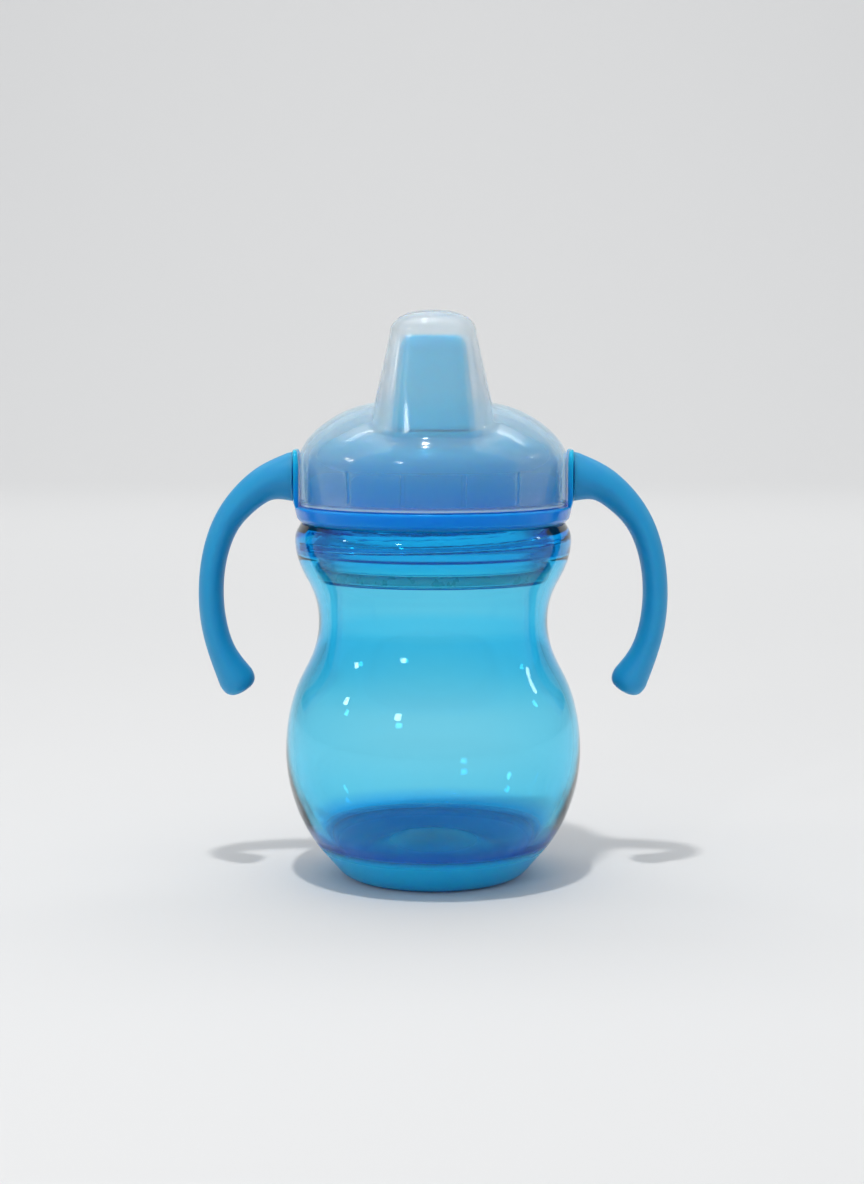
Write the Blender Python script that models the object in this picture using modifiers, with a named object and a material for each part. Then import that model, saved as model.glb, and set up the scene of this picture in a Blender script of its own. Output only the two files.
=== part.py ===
"""A two-handled baby training cup, modelled as the pieces it comes apart into.

Metres, +Z up. The cup stands on z = 0 and its axis is the Z axis. The handles lie
in the XZ plane, and the spout sits off the axis, towards -Y.

Root body: cup_body. The lid screws into the mouth of the cup and carries the
handles and the spout. A clear cap lifts off the lid, a slit valve pulls out
from under the spout, and a soft ring seals the lid's skirt against the cup.
"""
import math

import bmesh
import bpy
import numpy as np
from mathutils import Matrix

# ---------------------------------------------------------------- driving sizes
SEGMENTS = 36               # facets round the axis
GAP = 0.0003                # left between pieces that touch
MERGE = 0.00001             # merge distance of the Screw modifiers

# Cup
BELLY_RADIUS = 0.0379
WAIST_RADIUS = 0.0293
SHOULDER_RADIUS = 0.0352
FOOT_RADIUS = 0.0202        # outer edge of the flat foot ring
FOOT_INNER_RADIUS = 0.0176
PUNT_HEIGHT = 0.0068        # rise of the hollow under the base
CUP_WALL = 0.0024
FLOOR_EXTRA = 0.0006        # the floor is this much thicker than the wall
MOUTH_RADIUS = 0.0326       # inside of the mouth, where the thread is
MOUTH_SEAT_Z = 0.0838       # lower end of the straight, threaded mouth
CUP_RIM_Z = 0.0912
CUP_RIM_RADIUS = 0.0339
CUP_RIM_EDGE = 0.0004       # rounding of the rim
FOOT_EDGE = 0.0008          # rounding outside the foot ring

# Thread between cup and lid, right-handed, one start
THREAD_PITCH = 0.005
THREAD_Z = 0.0856           # lower end of the lid's ridge
THREAD_TURNS = 0.85
CUP_THREAD_START = -0.45    # the cup's ridge starts this many turns before the lid's
CUP_THREAD_Z = THREAD_Z + THREAD_PITCH * (0.5 + CUP_THREAD_START)   # half a pitch away
THREAD_ROOT_HALF = 0.0009   # half-widths of the ridge section
THREAD_CREST_HALF = 0.0004
THREAD_OVERLAP = 0.0005     # how far a ridge starts inside its wall
LID_THREAD_ROOT = 0.0306
LID_THREAD_CREST = 0.0322
CUP_THREAD_CREST = 0.0313

# Lid
LID_WALL = 0.0018
LID_RADIUS = 0.0319         # upright side of the dome, under the cap
LID_TOP_Z = 0.1139
LEDGE_Z = 0.0956            # shelf that the cap stands on
BAND_RADIUS = 0.0354        # the band narrows slightly towards its rounded foot
BAND_FOOT_RADIUS = 0.0347
BAND_FOOT_Z = 0.0925
BAND_BOTTOM_RADIUS = 0.0337
BAND_BOTTOM_Z = 0.0915
BAND_EDGE = 0.0005          # rounding of the ledge's edge
SKIRT_EDGE = 0.0003
SKIRT_RADIUS = 0.0293
SKIRT_INNER_RADIUS = 0.0276
SKIRT_BOTTOM_Z = 0.0774
GROOVE_RADIUS = 0.0284      # seat of the seal ring
GROOVE_BOTTOM_Z = 0.0780
GROOVE_TOP_Z = 0.0807
EAR_HALF_ANGLE = math.radians(11.0)
EAR_INNER_RADIUS = 0.0346
EAR_OUTER_RADIUS = 0.0358
EAR_ROOT_Z = 0.0932         # where it grows out of the band
EAR_RISE = 0.0036           # height in which it reaches its full thickness
EAR_TOP_Z = 0.1098

# Seat of the spout and the valve, on and under the lid
BOSS_HALF_X = 0.0122
BOSS_FRONT_Y = -0.0282
BOSS_REAR_Y = -0.0108
BOSS_BOTTOM_Z = 0.1114
BOSS_TOP_Z = 0.1152
BOSS_POWER = 2.4            # how square its section is
SEAT_Y = -0.0182            # centre of the opening, the socket and the valve
SOCKET_HALF_X = 0.0084
SOCKET_HALF_Y = 0.0064
SOCKET_WALL = 0.0013
SOCKET_BOTTOM_Z = 0.1036
SOCKET_ROOF_Z = 0.1134
NECK_HALF_X = 0.0059
NECK_HALF_Y = 0.0039
PLUG_WALL = 0.0013          # of the spout's neck and of the valve
PLUG_SIDES = 24             # facets round the spout, its seat and the valve

# Soft spout
SPOUT_BASE_HALF_X = 0.0104
SPOUT_TOP_HALF_X = 0.0078
SPOUT_TOP_Z = 0.1385
SPOUT_BASE_Z = BOSS_TOP_Z + GAP
SPOUT_LIP = 0.0038          # height of its rounded top
SPOUT_LIP_Z = SPOUT_TOP_Z - SPOUT_LIP
SPOUT_DISH = 0.0008         # depth of the dished tip
SPOUT_FRONT_Y = -0.0274     # at the base
SPOUT_REAR_Y = -0.0115
SPOUT_FRONT_DRAFT = 0.227   # inward lean, per unit of height
SPOUT_REAR_DRAFT = 0.138
SPOUT_POWER = 2.8           # how square its section is
SPOUT_FLANGE = 0.0022       # thickness of the flange under the lid's roof
SPOUT_WALL = 0.0015
SPOUT_HOLE_RADIUS = 0.0008
SPOUT_HOLE_SPACING = 0.0034

# Clear cap
CAP_WALL = 0.0014
CAP_RIM_Z = LEDGE_Z + GAP
CAP_RIM_RADIUS = 0.0339
CAP_RADIUS = 0.0342
CAP_SKIRT_Z = 0.0995        # where the skirt reaches its full radius
CAP_CREST_Z = 0.1226
TOWER_TOP_Z = 0.1448
TOWER_DRAFT = 0.225         # inward lean of the sides and the front, per unit of height
TOWER_REAR_DRAFT = 0.14
TOWER_CROWN = 0.006         # height of the rounded top of the tower
CROWN_POWER = 2.3           # how square the crown's profile is
TOWER_FOOT_POWER = 2.2      # how square the tower's section is, at its foot and top
TOWER_TOP_POWER = 2.8
TOWER_HALF_X = 0.0142       # at the height below
TOWER_HALF_Z = 0.1229
TOWER_FRONT = (-0.0305, 0.1140)     # y and z of the foot of its front and rear walls
TOWER_REAR = (-0.0095, 0.1215)
FILLET_RADIUS = 0.0028      # between the tower and the dome
RIB_ANGLES = (13.0, 39.0, 73.0)
RIB_WIDTH = 0.0012
RIB_BOTTOM_Z = 0.0975
RIB_TOP_Z = 0.1055
RIB_INNER_RADIUS = 0.0323

# Seal ring and valve
SEAL_INNER_RADIUS = GROOVE_RADIUS + GAP
SEAL_OUTER_RADIUS = 0.0305
VALVE_FLANGE_HALF_X = 0.0094
VALVE_FLANGE_HALF_Y = 0.0074
VALVE_BOTTOM_Z = 0.1018
VALVE_TOP_Z = SOCKET_ROOF_Z - 0.0028
VALVE_MEMBRANE_Z = 0.1056
MEMBRANE_HALF = 0.0004      # half its thickness
SLIT_WIDTH = 0.0004
TAB_HALF_X = 0.0034
TAB_FRONT_Y = -0.0128
TAB_REAR_Y = -0.0112
TAB_BOTTOM_Z = 0.0960

# Handle: x, z of the middle line, width in the XZ plane and depth along Y
HANDLE_DEPTH = 0.0098
HANDLE_STATIONS = (
    (0.0361, 0.1029, 0.0125, 0.0104),
    (0.0429, 0.1010, 0.0091, 0.0102),
    (0.0476, 0.0975, 0.0080, HANDLE_DEPTH),
    (0.0522, 0.0920, 0.0070, HANDLE_DEPTH),
    (0.0554, 0.0844, 0.0065, HANDLE_DEPTH),
    (0.0569, 0.0737, 0.0064, HANDLE_DEPTH),
    (0.0561, 0.0645, 0.0066, HANDLE_DEPTH),
    (0.0539, 0.0572, 0.0072, HANDLE_DEPTH),
    (0.0508, 0.0513, 0.0092, 0.0106),
)
SOLE_HEIGHT = 0.0042        # how far the rounded sole goes past the last station
SOLE_POWER = 2.8            # how flat the sole is

# Colours: base colour, roughness, alpha
CUP_BLUE = ((0.10, 0.60, 0.85), 0.15, 0.45)
LID_BLUE = ((0.02, 0.30, 0.72), 0.30, 0.85)
SPOUT_BLUE = ((0.22, 0.60, 0.80), 0.55, 1.0)
CLEAR = ((0.85, 0.90, 0.96), 0.12, 0.30)
SOFT_WHITE = ((0.80, 0.88, 0.92), 0.55, 0.8)


# ---------------------------------------------------------------- curves
def smooth(stations, count):
    """count points on the natural cubic spline through the stations."""
    points = np.array(stations, dtype=float)
    last = len(points) - 1
    steps = np.linalg.norm(np.diff(points, axis=0), axis=1)
    knots = np.concatenate([[0.0], np.cumsum(steps)])
    system = np.eye(last + 1)
    target = np.zeros_like(points)
    for i in range(1, last):
        system[i, i - 1:i + 2] = steps[i - 1], 2 * (steps[i - 1] + steps[i]), steps[i]
        rise = (points[i + 1] - points[i]) / steps[i]
        fall = (points[i] - points[i - 1]) / steps[i - 1]
        target[i] = 6 * (rise - fall)
    bend = np.linalg.solve(system, target)
    curve = []
    for s in np.linspace(0.0, knots[-1], count):
        i = min(int(np.searchsorted(knots, s, side="right")) - 1, last - 1)
        a = (knots[i + 1] - s) / steps[i]
        b = (s - knots[i]) / steps[i]
        pull = ((a ** 3 - a) * bend[i] + (b ** 3 - b) * bend[i + 1]) * steps[i] ** 2 / 6
        curve.append(a * points[i] + b * points[i + 1] + pull)
    return curve


def inset(curve, distance):
    """The curve moved to its left-hand side by the distance."""
    points = np.array(curve)
    along = np.gradient(points, axis=0)
    along /= np.linalg.norm(along, axis=1)[:, None]
    return list(points + distance * np.column_stack([-along[:, 1], along[:, 0]]))


def squarish(half_x, front_y, rear_y, z, power=3.0, count=SEGMENTS):
    """A level ring like a rounded rectangle, counter-clockwise from above."""
    middle = (front_y + rear_y) / 2
    half_y = (rear_y - front_y) / 2
    ring = []
    for k in range(count):
        turn = 2 * math.pi * k / count
        c = math.cos(turn)
        s = math.sin(turn)
        x = half_x * math.copysign(abs(c) ** (2 / power), c)
        y = middle + half_y * math.copysign(abs(s) ** (2 / power), s)
        ring.append((x, y, z))
    return ring


# ---------------------------------------------------------------- objects
def clear_scene():
    for old in list(bpy.data.objects):
        bpy.data.objects.remove(old, do_unlink=True)


def new_collection(name):
    collection = bpy.data.collections.new(name)
    bpy.context.scene.collection.children.link(collection)
    return collection


def plastic(name, look):
    colour, roughness, alpha = look
    material = bpy.data.materials.new(name)
    material.use_nodes = True
    shader = material.node_tree.nodes["Principled BSDF"]
    shader.inputs["Base Color"].default_value = (*colour, 1.0)
    shader.inputs["Roughness"].default_value = roughness
    shader.inputs["Metallic"].default_value = 0.0
    shader.inputs["Alpha"].default_value = alpha
    return material


def add_object(name, mesh, collection, material=None):
    thing = bpy.data.objects.new(name, mesh)
    collection.objects.link(thing)
    if material:
        mesh.materials.append(material)
        mesh.shade_smooth()
        mesh.set_sharp_from_angle(angle=math.radians(35))
    else:
        thing.hide_render = True
        thing.display_type = "WIRE"
    return thing


def turned(name, profile, collection, material=None, closed=False):
    """A body of revolution about Z; the profile runs down its outer side."""
    mesh = bpy.data.meshes.new(name)
    edges = [(i, i + 1) for i in range(len(profile) - 1)]
    if closed:
        edges.append((len(profile) - 1, 0))
    mesh.from_pydata([(r, 0.0, z) for r, z in profile], edges, [])
    thing = add_object(name, mesh, collection, material)
    screw = thing.modifiers.new("Turn", "SCREW")
    screw.axis = "Z"
    screw.angle = 2 * math.pi
    screw.steps = SEGMENTS
    screw.render_steps = SEGMENTS
    screw.use_merge_vertices = True
    screw.merge_threshold = MERGE
    screw.use_smooth_shade = True
    return thing


def loft(rings, cap_start=True, cap_end=True, wrap=False):
    """A mesh through rings of equal length; wrap joins the last ring to the first."""
    form = bmesh.new()
    rows = [[form.verts.new(point) for point in ring] for ring in rings]
    count = len(rows[0])
    pairs = list(zip(rows, rows[1:]))
    if wrap:
        pairs.append((rows[-1], rows[0]))
    for low, high in pairs:
        for k in range(count):
            after = (k + 1) % count
            form.faces.new((low[k], low[after], high[after], high[k]))
    if cap_start and not wrap:
        form.faces.new(rows[0][::-1])
    if cap_end and not wrap:
        form.faces.new(rows[-1])
    if wrap or (cap_start and cap_end):
        bmesh.ops.recalc_face_normals(form, faces=form.faces)
    mesh = bpy.data.meshes.new("loft")
    form.to_mesh(mesh)
    form.free()
    return mesh


def combine(target, tool, operation):
    change = target.modifiers.new(tool.name, "BOOLEAN")
    change.operation = operation
    change.object = tool


# ---------------------------------------------------------------- cup
def cup_outline():
    """Radius and height of the cup's outer side, from the rim down to the foot."""
    return smooth((
        (CUP_RIM_RADIUS, CUP_RIM_Z - CUP_RIM_EDGE),
        (0.0350, 0.0887),
        (SHOULDER_RADIUS, 0.0860),
        (0.0337, 0.0799),
        (0.0305, 0.0733),
        (WAIST_RADIUS, 0.0655),
        (0.0309, 0.0577),
        (0.0344, 0.0505),
        (0.0370, 0.0421),
        (BELLY_RADIUS, 0.0333),
        (0.0372, 0.0250),
        (0.0347, 0.0166),
        (0.0305, 0.0091),
        (0.0257, 0.0034),
        (FOOT_RADIUS + 0.0028, FOOT_EDGE),
        (FOOT_RADIUS, 0.0),
    ), 24)


def punt(rise, radius, count):
    """The domed hollow of the base, from its edge to the axis."""
    ball = (radius ** 2 + rise ** 2) / (2 * rise)
    edge = math.asin(radius / ball)
    arc = []
    for k in range(count + 1):
        turn = edge * (1 - k / count)
        arc.append((ball * math.sin(turn), ball * math.cos(turn) - ball + rise))
    return arc


def thread_ridge(name, wall, crest, start_z, start_turn, collection):
    """A ridge of trapezoid section on a helix, from inside a wall to its crest."""
    steps = round(THREAD_TURNS * SEGMENTS)
    rings = []
    for k in range(steps + 1):
        turns = THREAD_TURNS * k / steps
        angle = 2 * math.pi * (start_turn + turns)
        z = start_z + THREAD_PITCH * turns
        section = (
            (wall, z - THREAD_ROOT_HALF),
            (crest, z - THREAD_CREST_HALF),
            (crest, z + THREAD_CREST_HALF),
            (wall, z + THREAD_ROOT_HALF),
        )
        rings.append([(r * math.cos(angle), r * math.sin(angle), h) for r, h in section])
    return add_object(name, loft(rings), collection)


def make_cup(parts, tools, material):
    outside = cup_outline()
    floor_edge = FOOT_RADIUS + FOOT_EDGE
    floor = punt(PUNT_HEIGHT - FLOOR_EXTRA, FOOT_RADIUS, 4)
    wall = [point for point in inset(outside, -CUP_WALL)[3:-2] if point[1] < MOUTH_SEAT_Z]
    lining = [(MOUTH_RADIUS, CUP_RIM_Z), (MOUTH_RADIUS, MOUTH_SEAT_Z)]
    lining += [tuple(point) for point in wall]
    lining += [(floor_edge, CUP_WALL + FLOOR_EXTRA)]
    lining += [(r, z + CUP_WALL + FLOOR_EXTRA) for r, z in floor]
    profile = lining[::-1] + [(CUP_RIM_RADIUS - CUP_RIM_EDGE, CUP_RIM_Z)]
    profile += [tuple(point) for point in outside]
    profile += punt(PUNT_HEIGHT, FOOT_INNER_RADIUS, 4)
    cup = turned("cup_body", profile, parts, material)
    ridge = thread_ridge("cup_thread", MOUTH_RADIUS + THREAD_OVERLAP, CUP_THREAD_CREST,
                         CUP_THREAD_Z, CUP_THREAD_START, tools)
    combine(cup, ridge, "UNION")


# ---------------------------------------------------------------- lid
def lid_outline():
    """Radius and height of the dome under the cap, from the axis outwards."""
    return smooth((
        (0.0, LID_TOP_Z),
        (0.0125, 0.1138),
        (0.0235, 0.1131),
        (0.0280, 0.1116),
        (0.0303, 0.1095),
        (0.0315, 0.1065),
        (LID_RADIUS, 0.1030),
    ), 12)


def ear(name, side, collection):
    """An upright curved wall outside the cap, where one handle starts."""
    section = (
        (EAR_INNER_RADIUS, EAR_ROOT_Z),
        (BAND_FOOT_RADIUS, EAR_ROOT_Z),
        (EAR_OUTER_RADIUS, EAR_ROOT_Z + EAR_RISE),
        (EAR_OUTER_RADIUS, EAR_TOP_Z),
        (EAR_INNER_RADIUS, EAR_TOP_Z),
        (EAR_INNER_RADIUS, LEDGE_Z - GAP),
    )
    steps = 6
    rings = []
    for k in range(steps + 1):
        angle = EAR_HALF_ANGLE * (2 * k / steps - 1)
        c = side * math.cos(angle)
        s = math.sin(angle)
        rings.append([(r * c, r * s, z) for r, z in section])
    return add_object(name, loft(rings), collection)


def upright(name, half_x, half_y, low_z, high_z, collection, grow=0.0):
    """A straight plug of rounded section round the seat of the spout."""
    rings = []
    for z in (low_z, high_z):
        rings.append(squarish(half_x + grow, SEAT_Y - half_y - grow,
                              SEAT_Y + half_y + grow, z, count=PLUG_SIDES))
    return add_object(name, loft(rings), collection)


def make_lid(parts, tools, material):
    dome = [tuple(point) for point in lid_outline()]
    lining = [tuple(point) for point in inset(lid_outline(), -LID_WALL)]
    lining[0] = (0.0, LID_TOP_Z - LID_WALL)
    skirt = [
        (LID_RADIUS, LEDGE_Z),
        (BAND_RADIUS - BAND_EDGE, LEDGE_Z),
        (BAND_RADIUS, LEDGE_Z - BAND_EDGE),
        (BAND_FOOT_RADIUS, BAND_FOOT_Z),
        (BAND_BOTTOM_RADIUS, BAND_BOTTOM_Z),
        (LID_THREAD_ROOT, BAND_BOTTOM_Z),
        (LID_THREAD_ROOT, THREAD_Z - 0.0014),
        (SKIRT_RADIUS, THREAD_Z - 0.0024),
        (SKIRT_RADIUS, GROOVE_TOP_Z),
        (GROOVE_RADIUS, GROOVE_TOP_Z),
        (GROOVE_RADIUS, GROOVE_BOTTOM_Z),
        (SKIRT_RADIUS, GROOVE_BOTTOM_Z),
        (SKIRT_RADIUS, SKIRT_BOTTOM_Z + SKIRT_EDGE),
        (SKIRT_RADIUS - SKIRT_EDGE, SKIRT_BOTTOM_Z),
        (SKIRT_INNER_RADIUS, SKIRT_BOTTOM_Z),
        (SKIRT_INNER_RADIUS, THREAD_Z - 0.0020),
        (SKIRT_INNER_RADIUS + 0.0009, THREAD_Z),
        (SKIRT_INNER_RADIUS + 0.0009, BAND_BOTTOM_Z),
        (LID_RADIUS - LID_WALL, LEDGE_Z),
    ]
    lid = turned("screw_lid", dome + skirt + lining[::-1], parts, material)
    boss = add_object("lid_boss", loft([
        squarish(BOSS_HALF_X, BOSS_FRONT_Y, BOSS_REAR_Y, z, power=BOSS_POWER,
                 count=PLUG_SIDES)
        for z in (BOSS_BOTTOM_Z, BOSS_TOP_Z)]), tools)
    socket = upright("lid_socket", SOCKET_HALF_X, SOCKET_HALF_Y, SOCKET_BOTTOM_Z,
                     SOCKET_ROOF_Z, tools, grow=SOCKET_WALL)
    ridge = thread_ridge("lid_thread", LID_THREAD_ROOT - THREAD_OVERLAP, LID_THREAD_CREST,
                         THREAD_Z, 0.0, tools)
    for joined in (boss, socket, ridge, ear("ear_right", 1, tools), ear("ear_left", -1, tools)):
        combine(lid, joined, "UNION")
    bore = upright("socket_bore", SOCKET_HALF_X, SOCKET_HALF_Y, SOCKET_BOTTOM_Z - 0.001,
                   SOCKET_ROOF_Z, tools)
    hole = upright("spout_hole", NECK_HALF_X, NECK_HALF_Y, SOCKET_ROOF_Z - 0.001,
                   BOSS_TOP_Z + 0.001, tools, grow=GAP)
    for removed in (bore, hole):
        combine(lid, removed, "DIFFERENCE")


# ---------------------------------------------------------------- handles
def handle_mesh(side):
    """One arm: rounded sections across a smooth middle line, and a rounded sole."""
    stations = smooth(HANDLE_STATIONS, 17)
    middle = np.array(stations)[:, :2]
    along = np.gradient(middle, axis=0)
    along /= np.linalg.norm(along, axis=1)[:, None]
    along[0] = (1.0, 0.0)
    sole = [(share, (1 - share ** SOLE_POWER) ** (1 / SOLE_POWER))
            for share in (0.50, 0.80, 0.96)]
    count = 16
    rings = []
    plan = [(station, direction, 0.0, 1.0) for station, direction in zip(stations, along)]
    plan += [(stations[-1], along[-1], share, shrink) for share, shrink in sole]
    for (x, z, width, depth), (dx, dz), share, shrink in plan:
        cx = x + dx * SOLE_HEIGHT * share
        cz = z + dz * SOLE_HEIGHT * share
        ring = []
        for k in range(count):
            turn = 2 * math.pi * k / count
            out = width / 2 * shrink * math.cos(turn)
            ring.append((side * (cx - dz * out), depth / 2 * shrink * math.sin(turn),
                         cz + dx * out))
        rings.append(ring)
    return loft(rings)


def make_handles(parts, material):
    for name, side in (("handle_left", -1), ("handle_right", 1)):
        add_object(name, handle_mesh(side), parts, material)


# ---------------------------------------------------------------- spout
def spout_ring(z, wall=0.0, shrink=1.0, height=None):
    """The section of the spout's body at z, inset by a wall or shrunk to its middle."""
    rise = z - SPOUT_BASE_Z
    front = SPOUT_FRONT_Y + rise * SPOUT_FRONT_DRAFT + wall
    rear = SPOUT_REAR_Y - rise * SPOUT_REAR_DRAFT - wall
    middle = (front + rear) / 2
    half_y = (rear - front) / 2 * shrink
    share = rise / (SPOUT_TOP_Z - SPOUT_BASE_Z)
    half_x = SPOUT_BASE_HALF_X + share * (SPOUT_TOP_HALF_X - SPOUT_BASE_HALF_X) - wall
    return squarish(half_x * shrink, middle - half_y, middle + half_y, height or z,
                    power=SPOUT_POWER, count=PLUG_SIDES)


def neck_ring(half_x, half_y, z):
    return squarish(half_x, SEAT_Y - half_y, SEAT_Y + half_y, z, count=PLUG_SIDES)


def make_spout(parts, tools, material):
    flange_top = SOCKET_ROOF_Z - GAP
    flange_bottom = flange_top - SPOUT_FLANGE
    flange = (SOCKET_HALF_X - 2 * GAP, SOCKET_HALF_Y - 2 * GAP)
    rings = [
        neck_ring(*flange, flange_bottom),
        neck_ring(*flange, flange_top),
        neck_ring(NECK_HALF_X, NECK_HALF_Y, flange_top),
        neck_ring(NECK_HALF_X, NECK_HALF_Y, SPOUT_BASE_Z),
    ]
    side = np.linspace(SPOUT_BASE_Z, SPOUT_LIP_Z, 5)
    rings += [spout_ring(z) for z in side]
    rings += [spout_ring(SPOUT_LIP_Z, shrink=shrink, height=SPOUT_TOP_Z - drop)
              for shrink, drop in ((0.96, 0.0018), (0.86, 0.0005), (0.72, 0.0),
                                   (0.58, 0.0004), (0.30, SPOUT_DISH))]
    spout = add_object("soft_spout", loft(rings), parts, material)
    neck = (NECK_HALF_X - PLUG_WALL, NECK_HALF_Y - PLUG_WALL)
    passage = add_object("spout_passage", loft([
        neck_ring(*neck, flange_bottom - 0.001),
        neck_ring(*neck, SPOUT_BASE_Z + SPOUT_WALL),
        spout_ring(SPOUT_BASE_Z + 2 * SPOUT_WALL, wall=SPOUT_WALL),
        spout_ring(side[2], wall=SPOUT_WALL),
        spout_ring(SPOUT_LIP_Z - 0.001, wall=SPOUT_WALL),
        spout_ring(SPOUT_LIP_Z, wall=SPOUT_WALL, shrink=0.8,
                   height=SPOUT_TOP_Z - SPOUT_DISH - SPOUT_WALL),
    ]), tools)
    combine(spout, passage, "DIFFERENCE")
    tip_y = sum(y for _, y, _ in spout_ring(SPOUT_LIP_Z)) / PLUG_SIDES
    for k in (-1, 0, 1):
        circle = [(k * SPOUT_HOLE_SPACING + SPOUT_HOLE_RADIUS * math.cos(math.pi * i / 4),
                   tip_y + SPOUT_HOLE_RADIUS * math.sin(math.pi * i / 4)) for i in range(8)]
        mesh = loft([[(x, y, z) for x, y in circle]
                     for z in (SPOUT_LIP_Z - 0.002, SPOUT_TOP_Z + 0.001)])
        combine(spout, add_object(f"spout_drink_hole_{k + 2}", mesh, tools), "DIFFERENCE")


# ---------------------------------------------------------------- valve and seal
def slit(name, angle, length, collection):
    form = bmesh.new()
    size = Matrix.Diagonal((length, SLIT_WIDTH, 0.004, 1.0))
    place = Matrix.Translation((0.0, SEAT_Y, VALVE_MEMBRANE_Z))
    bmesh.ops.create_cube(form, size=1.0, matrix=place @ Matrix.Rotation(angle, 4, "Z") @ size)
    mesh = bpy.data.meshes.new(name)
    form.to_mesh(mesh)
    form.free()
    return add_object(name, mesh, collection)


def make_valve(parts, tools, material):
    plug = (SOCKET_HALF_X - 2 * GAP, SOCKET_HALF_Y - 2 * GAP)
    flange = (VALVE_FLANGE_HALF_X, VALVE_FLANGE_HALF_Y)
    shoulder = SOCKET_BOTTOM_Z - GAP
    valve = add_object("spill_valve", loft([
        neck_ring(*flange, VALVE_BOTTOM_Z),
        neck_ring(*flange, shoulder),
        neck_ring(*plug, shoulder),
        neck_ring(*plug, VALVE_TOP_Z),
    ]), parts, material)
    tab_mesh = loft([squarish(TAB_HALF_X, TAB_FRONT_Y, TAB_REAR_Y, z, power=4.0, count=16)
                     for z in (TAB_BOTTOM_Z, VALVE_BOTTOM_Z + 0.0005)])
    combine(valve, add_object("valve_tab", tab_mesh, tools), "UNION")
    hollow = (plug[0] - PLUG_WALL, plug[1] - PLUG_WALL)
    for name, low, high in (
            ("valve_upper_hollow", VALVE_MEMBRANE_Z + MEMBRANE_HALF, VALVE_TOP_Z + 0.001),
            ("valve_lower_hollow", VALVE_BOTTOM_Z - 0.001, VALVE_MEMBRANE_Z - MEMBRANE_HALF)):
        cut = add_object(name, loft([neck_ring(*hollow, low), neck_ring(*hollow, high)]), tools)
        combine(valve, cut, "DIFFERENCE")
    combine(valve, slit("slit_across", 0.0, 0.008, tools), "DIFFERENCE")
    combine(valve, slit("slit_along", math.pi / 2, 0.006, tools), "DIFFERENCE")


def make_seal(parts, material):
    low = GROOVE_BOTTOM_Z + GAP
    high = GROOVE_TOP_Z - GAP
    middle = (low + high) / 2
    turned("seal_ring", (
        (SEAL_INNER_RADIUS, high),
        (SEAL_OUTER_RADIUS - 0.0007, high),
        (SEAL_OUTER_RADIUS - 0.0001, middle + 0.0006),
        (SEAL_OUTER_RADIUS, middle),
        (SEAL_OUTER_RADIUS - 0.0002, middle - 0.0006),
        (SEAL_OUTER_RADIUS - 0.0008, low),
        (SEAL_INNER_RADIUS, low),
    ), parts, material, closed=True)


# ---------------------------------------------------------------- cap
def cap_outline():
    """Radius and height of the cap's dome, from its crest down to the upright side."""
    return smooth((
        (0.0, CAP_CREST_Z),
        (0.0095, 0.1223),
        (0.0178, 0.1211),
        (0.0244, 0.1185),
        (0.0292, 0.1152),
        (0.0327, 0.1113),
        (0.0341, 0.1078),
        (CAP_RADIUS, 0.1040),
    ), 60)


class Dome:
    """The cap's dome, laid out flat: a point of the plan is a distance from the
    crest along the dome, and a direction."""

    def __init__(self, outline):
        points = np.array(outline)
        lengths = np.linalg.norm(np.diff(points, axis=0), axis=1)
        self.reach = np.concatenate([[0.0], np.cumsum(lengths)])
        self.radius = points[:, 0]
        self.height = points[:, 1]

    def place(self, plan):
        reach = math.hypot(*plan)
        radius = float(np.interp(reach, self.reach, self.radius))
        height = float(np.interp(reach, self.reach, self.height))
        scale = radius / reach if reach > 1e-9 else 1.0
        return np.array((plan[0] * scale, plan[1] * scale, height))

    def plan_of(self, x, y):
        radius = math.hypot(x, y)
        reach = float(np.interp(radius, self.radius, self.reach))
        scale = reach / radius if radius > 1e-9 else 1.0
        return np.array((x * scale, y * scale))

    def height_at(self, radius):
        return float(np.interp(radius, self.radius, self.height))


def tower_point(turn, z, shrink=1.0):
    """A point of the tower's outside at height z, as its section goes round."""
    half_x = (TOWER_HALF_X + (TOWER_HALF_Z - z) * TOWER_DRAFT) * shrink
    front = TOWER_FRONT[0] + (z - TOWER_FRONT[1]) * TOWER_DRAFT
    rear = TOWER_REAR[0] - (z - TOWER_REAR[1]) * TOWER_REAR_DRAFT
    half_y = (rear - front) / 2 * shrink
    share = min(max((z - TOWER_FRONT[1]) / (TOWER_TOP_Z - TOWER_FRONT[1]), 0.0), 1.0)
    power = TOWER_FOOT_POWER + share * (TOWER_TOP_POWER - TOWER_FOOT_POWER)
    c = math.cos(turn)
    s = math.sin(turn)
    x = half_x * math.copysign(abs(c) ** (2 / power), c)
    y = (front + rear) / 2 + half_y * math.copysign(abs(s) ** (2 / power), s)
    return np.array((x, y, z))


def unit(vector):
    return vector / np.linalg.norm(vector)


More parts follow.
